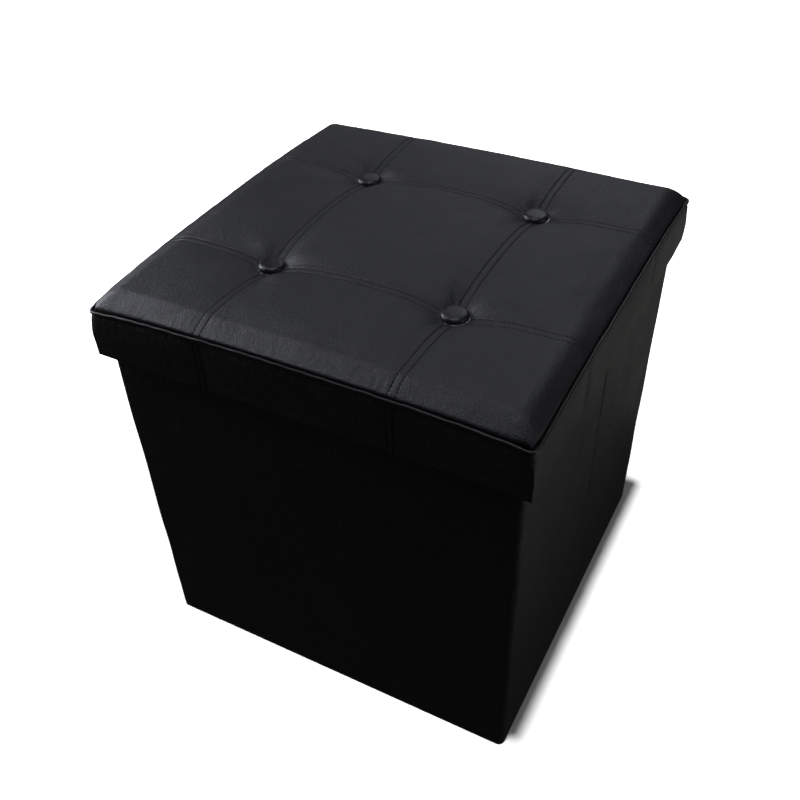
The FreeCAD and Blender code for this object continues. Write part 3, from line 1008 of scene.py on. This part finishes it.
def crease_push(x, y, z):
    """The wall's unevenness with the fold line pressed into it, fading out near the floor."""
    strength = 0.25 + 0.75 * rise(z, 110, 210)
    return face_waves(x, y, z) * rise(np.abs(y), 3, 14) + crease_section(y) * strength


def finish_wall(piece, body, node):
    """Puts a rigid piece of wall leather on its body, in place of the CAD skin."""
    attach(piece, body)
    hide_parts(node)


def build_walls():
    """Front, back and the four half walls; each ends short of its corner, where a corner piece takes over."""
    reach, depth = HINGE_X - CORNER_FLAT, HINGE_Y - CORNER_FLAT
    stations = straight((-reach, -HINGE_Y), (reach, -HINGE_Y), (0, -1))
    front = sweep("front_leather", stations, WALL_LOW.z, face_waves)
    finish_wall(front, "front_wall", "front_wall_skin")
    stations = straight((reach, HINGE_Y), (-reach, HINGE_Y), (0, 1))
    back = sweep("back_leather", stations, BACK_LOW.z, face_waves)
    finish_wall(back, "back_wall", "back_wall_skin")
    for name, low, high in (("right_front", -depth, -CREASE_FLAT), ("right_rear", CREASE_FLAT, depth)):
        stations = straight((HINGE_X, low), (HINGE_X, high), (1, 0))
        piece = sweep(f"{name}_leather", stations, SIDE_LOW.z, crease_push)
        finish_wall(piece, f"{name}_half", f"{name}_skin")
    for name, low, high in (("left_front", -depth, -CREASE_GAP), ("left_rear", CREASE_GAP, depth)):
        if high < 0:
            stations = straight((-HINGE_X, low), (-HINGE_X, -CREASE_FLAT), (-1, 0))
            stations += crease_stations(-HINGE_X, -1, -CREASE_FLAT + CREASE_STEP, high)
        else:
            stations = crease_stations(-HINGE_X, -1, low, CREASE_FLAT - CREASE_STEP)
            stations += straight((-HINGE_X, CREASE_FLAT), (-HINGE_X, high), (-1, 0))
        piece = sweep(f"{name}_leather", stations[::-1], SIDE_LOW.z, crease_push)
        finish_wall(piece, f"{name}_half", f"{name}_skin")


def bend_at_crease(piece):
    """Bakes a piece's placement into its mesh, on no body."""
    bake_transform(piece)


def build_crease():
    """The right wall's fold line: one strip of leather between the two halves."""
    stations = crease_stations(HINGE_X, 1, -CREASE_FLAT, CREASE_FLAT)
    piece = sweep("right_crease_leather", stations, SIDE_LOW.z, crease_push)
    bend_at_crease(piece)


def build_corners():
    """The four box corners: leather that turns round each hinge."""
    for name, sx, sy, across, side in CORNERS:
        x, y = sx * HINGE_X, sy * HINGE_Y
        flat = np.linspace(CORNER_FLAT, 0, 5)
        stations = [(x - sx * d, y, 0, sy) for d in flat]
        for turn in np.linspace(0, math.pi / 2, 15)[1:-1]:
            stations.append((x, y, sx * math.sin(turn), sy * math.cos(turn)))
        stations += [(x, y - sy * d, sx, 0) for d in flat[::-1]]
        if sx * sy > 0:
            stations = stations[::-1]
        piece = sweep(f"corner_{name}_leather", stations, WALL_LOW.z, face_waves)
        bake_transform(piece)


def build_base():
    """The base panel's leather: a thin slab with rounded edges."""
    half_x, half_y = BASE_HIGH.x, BASE_HIGH.y
    radius = WALL_THICK
    top, low = BASE_HIGH.z, BASE_LOW.z
    edge = 1.1
    section = [(-8.0, top)]
    for turn in np.linspace(0, math.pi / 2, 4):
        section.append((-edge * (1 - math.sin(turn)), top - edge * (1 - math.cos(turn))))
    for turn in np.linspace(0, math.pi / 2, 4):
        section.append((-edge * (1 - math.cos(turn)), low + edge * (1 - math.sin(turn))))
    points = []
    for side in range(4):
        sx, sy = ((1, -1), (1, 1), (-1, 1), (-1, -1))[side]
        for step in range(9):
            angle = (side - 1) * math.pi / 2 + step / 8 * math.pi / 2
            for offset, z in section:
                r = max(radius + offset, 0.2)
                shift = min(radius + offset, 0)
                x = sx * (half_x - radius + shift) + r * math.cos(angle)
                y = sy * (half_y - radius + shift) + r * math.sin(angle)
                points.append((x, y, z))
    columns = len(section)
    rows = len(points) // columns
    faces = []
    for r in range(rows):
        r2 = (r + 1) % rows
        for c in range(columns - 1):
            faces.append((r * columns + c, r2 * columns + c, r2 * columns + c + 1, r * columns + c + 1)[::-1])
    faces.append(tuple(r * columns for r in range(rows)))
    faces.append(tuple(r * columns + columns - 1 for r in range(rows))[::-1])
    piece = make("base_leather", points, faces, WALL_LEATHER, sharp=45)
    finish_wall(piece, "back_wall", "base_cover")


def strip(name, plan, bottom, top):
    """A thin upright strip of lining along plan points of (x, y, normal x, normal y)."""
    plan = np.array(plan)
    thin = 0.35
    loops = []
    for out in (0.0, thin):
        line = plan[:, :2] - plan[:, 2:4] * out
        for z in (bottom, top):
            loops.append(np.column_stack([line, np.full(len(plan), z)]))
    order = [loops[0], loops[1], loops[3], loops[2]]
    points = np.stack(order, 1)
    rows, columns = points.shape[:2]
    faces = grid_faces(rows, columns, wrap_columns=True)
    faces.append(tuple(range(columns))[::-1])
    faces.append(tuple((rows - 1) * columns + n for n in range(columns)))
    return make(name, points, faces, LINING, sharp=45)


def build_lining_strips():
    """Lining that runs on round the inner corners and across the right wall's fold."""
    bottom, top = LINING_LOW.z, LIP_Z
    for name, sx, sy, across, side in CORNERS:
        x, y = sx * HINGE_X, sy * HINGE_Y
        flat = np.linspace(6, 1.2, 4)
        plan = [(x - sx * d, y, 0, sy) for d in flat]
        for turn in np.linspace(0, math.pi / 2, 5):
            nx, ny = sx * math.sin(turn), sy * math.cos(turn)
            plan.append((x - sx * 1.0 + nx * 1.0, y - sy * 1.0 + ny * 1.0, nx, ny))
        plan += [(x, y - sy * d, sx, 0) for d in flat[::-1]]
        if sx * sy > 0:
            plan = plan[::-1]
        piece = strip(f"inner_corner_{name}", plan, bottom, top)
        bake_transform(piece)
    plan = [(HINGE_X, y, 1, 0) for y in np.linspace(-6, 6, 25)]
    piece = strip("right_crease_lining", plan, bottom, top)
    bend_at_crease(piece)


def dress_cad_nodes():
    """Gives every CAD node that still shows its own finish."""
    finishes = {
        "_board": BOARD,
        "_lining": LINING,
        "staples": STEEL,
        "shells": STEEL,
        "anchors": STEEL,
        "twines": TWINE,
    }
    for name, node in frame["nodes"].items():
        chosen = WALL_LEATHER
        for ending, material in finishes.items():
            if name.endswith(ending) or (ending == "_board" and "skirt_board" in name):
                chosen = material
        node.data.materials.clear()
        node.data.materials.append(chosen)


# ---------------------------------------------------------------- stage, lights and camera

CAMERA_AZIMUTH = 30.225
CAMERA_ELEVATION = 42.03
CAMERA_DISTANCE = 1.1774
CAMERA_AIM = (-0.1175, 0.1445, 0.0)
CAMERA_ROLL = -0.049
LENS = 41.86
SHIFT = (0.0216, 0.0463)


def build_floor():
    """A plain pale floor that sweeps up into a round backdrop; it catches a shadow and lights nothing."""
    material, nodes, links, shader = new_material("pale_floor")
    where = nodes.new("ShaderNodeTexCoord").outputs["Object"]
    tone = add(nodes, "ShaderNodeTexNoise", Scale=3.0, Detail=2.0)
    links.new(where, tone.inputs["Vector"])
    links.new(ramp(nodes, links, tone.outputs["Fac"], 0.3, 0.7, 0.86, 0.94), shader.inputs["Roughness"])
    shader.inputs["Base Color"].default_value = (0.95, 0.95, 0.95, 1)
    shader.inputs["Specular IOR Level"].default_value = 0.0
    shader.inputs["Emission Color"].default_value = (1, 1, 1, 1)
    far = nodes.new("ShaderNodeVectorMath")
    far.operation = "LENGTH"
    links.new(where, far.inputs[0])
    glow = ramp(nodes, links, far.outputs["Value"], 0.33, 0.6, 0.06, 1.0)
    links.new(glow, shader.inputs["Emission Strength"])
    radius, bend, height = 6000.0, 1500.0, 6000.0
    rings = [(0.2 * radius, 0.0), (0.5 * radius, 0.0), (radius - bend, 0.0)]
    for turn in np.linspace(0, math.pi / 2, 9)[1:]:
        rings.append((radius - bend + bend * math.sin(turn), bend * (1 - math.cos(turn))))
    rings.append((radius, height))
    around = np.arange(96) / 96 * 2 * math.pi
    points = [[(r * math.cos(a), r * math.sin(a), z) for a in around] for r, z in rings]
    faces = grid_faces(len(rings), len(around), wrap_columns=True)
    faces.append(tuple(range(len(around))))
    floor = make("floor", points, faces, material)
    floor.visible_diffuse = False
    floor.visible_glossy = False
    floor.visible_shadow = False
    return floor


def area_light(name, place, aim, size, power, colour):
    """A soft rectangular light."""
    data = bpy.data.lights.new(name, "AREA")
    data.shape = "RECTANGLE"
    data.size, data.size_y = size
    data.energy = power
    data.color = colour
    light = bpy.data.objects.new(name, data)
    bpy.context.scene.collection.objects.link(light)
    light.location = place
    light.rotation_mode = "QUATERNION"
    light.rotation_quaternion = (Vector(aim) - Vector(place)).to_track_quat("-Z", "Y")
    light.visible_camera = False


# Studio lights as (name, compass direction, height angle, size, watts), all at one distance.
COOL, WARM = (0.875, 0.895, 1.0), (1.0, 0.985, 0.955)
LIGHT_DISTANCE = 2.2
LIGHT_AIM = (0, 0, 0.3)
LIGHTS = (
    ("overhead", 0, 90, 1.0, 7.2),
    ("left_mid", 180, 38, 1.2, 13.5),
    ("left_low", 180, 12, 1.0, 28.9),
    ("front_high", 295, 74, 1.0, 4.5),
    ("back_mid", 103, 38, 1.4, 3.2),
    ("back_low", 112, 12, 1.4, 1.3),
    ("right_low", 0, 12, 1.5, 5.0),
)
NEAR_BACK_AT, NEAR_BACK_AIM, NEAR_BACK_WATTS = (0.1, 0.72, 0.95), (0.12, 0.08, 0.39), 0.42

# Cards on the floor as (name, place, size, watts); each throws its light straight up.
CARDS = (
    ("bounce_near", (0.45, 0.5, 0.02), (0.5, 0.4), 0.09),
    ("bounce_right", (0.9, 0.1, 0.02), (0.6, 0.6), 1.2),
    ("bounce_back", (0.35, 0.9, 0.02), (0.5, 0.4), 0.2),
    ("bounce_far", (0.9, 0.9, 0.02), (0.8, 0.6), 0.19),
)
FLOOR_SUN_FROM, FLOOR_SUN_SPREAD, FLOOR_SUN_STRENGTH = (-0.01, -0.054, 1.0), 2.5, 3.6
WORLD_STRENGTH = 0.028


def build_lights(floor):
    """Soft lights, strongest from the left, bounce cards on the floor and a sun for the floor alone."""
    world = bpy.data.worlds.new("studio")
    world.use_nodes = True
    background = world.node_tree.nodes["Background"]
    background.inputs["Color"].default_value = (0.95, 0.97, 1.0, 1)
    background.inputs["Strength"].default_value = WORLD_STRENGTH
    bpy.context.scene.world = world
    aim = Vector(LIGHT_AIM)
    for name, compass, height, size, watts in LIGHTS:
        a, e = math.radians(compass), math.radians(height)
        toward = Vector((math.cos(e) * math.cos(a), math.cos(e) * math.sin(a), math.sin(e)))
        area_light(name, aim + toward * LIGHT_DISTANCE, aim, (size, size), watts, COOL)
    area_light("near_back", NEAR_BACK_AT, NEAR_BACK_AIM, (0.35, 0.35), NEAR_BACK_WATTS, COOL)
    for name, place, size, watts in CARDS:
        area_light(name, place, (place[0], place[1], 1), size, watts, WARM)
    data = bpy.data.lights.new("floor_sun", "SUN")
    data.energy = FLOOR_SUN_STRENGTH
    data.angle = math.radians(FLOOR_SUN_SPREAD)
    sun = bpy.data.objects.new("floor_sun", data)
    bpy.context.scene.collection.objects.link(sun)
    sun.rotation_mode = "QUATERNION"
    sun.rotation_quaternion = Vector(FLOOR_SUN_FROM).to_track_quat("Z", "Y")
    lit = bpy.data.collections.new("lit_by_floor_sun")
    lit.objects.link(floor)
    unlit = bpy.data.collections.new("unlit_by_the_others")
    unlit.objects.link(floor)
    unlit.collection_objects[0].light_linking.link_state = "EXCLUDE"
    for light in [found for found in bpy.context.scene.objects if found.type == "LIGHT"]:
        light.light_linking.receiver_collection = lit if light is sun else unlit


def build_camera():
    """The camera, high in front of the near corner and a little rolled."""
    azimuth, elevation = math.radians(CAMERA_AZIMUTH), math.radians(CAMERA_ELEVATION)
    level_reach = math.cos(elevation)
    back = Vector((math.sin(azimuth) * level_reach, -math.cos(azimuth) * level_reach, math.sin(elevation)))
    right = (-back).cross(Vector((0, 0, 1))).normalized()
    up = right.cross(-back)
    level = Matrix((right, up, back)).transposed()
    data = bpy.data.cameras.new("camera")
    data.lens = LENS
    data.sensor_width = 36
    data.shift_x, data.shift_y = SHIFT
    camera = bpy.data.objects.new("camera", data)
    bpy.context.scene.collection.objects.link(camera)
    turn = level @ Matrix.Rotation(CAMERA_ROLL, 3, "Z")
    camera.matrix_world = Matrix.Translation(Vector(CAMERA_AIM) + back * CAMERA_DISTANCE) @ turn.to_4x4()
    bpy.context.scene.camera = camera


dress_cad_nodes()
settle_cover()
build_seat()
build_welt()
build_skirt()
build_stitching()
build_buttons()
build_walls()
build_crease()
build_corners()
build_base()
build_lining_strips()
build_lights(build_floor())
build_camera()
bpy.context.scene.view_settings.view_transform = "Standard"

bpy.context.view_layer.update()
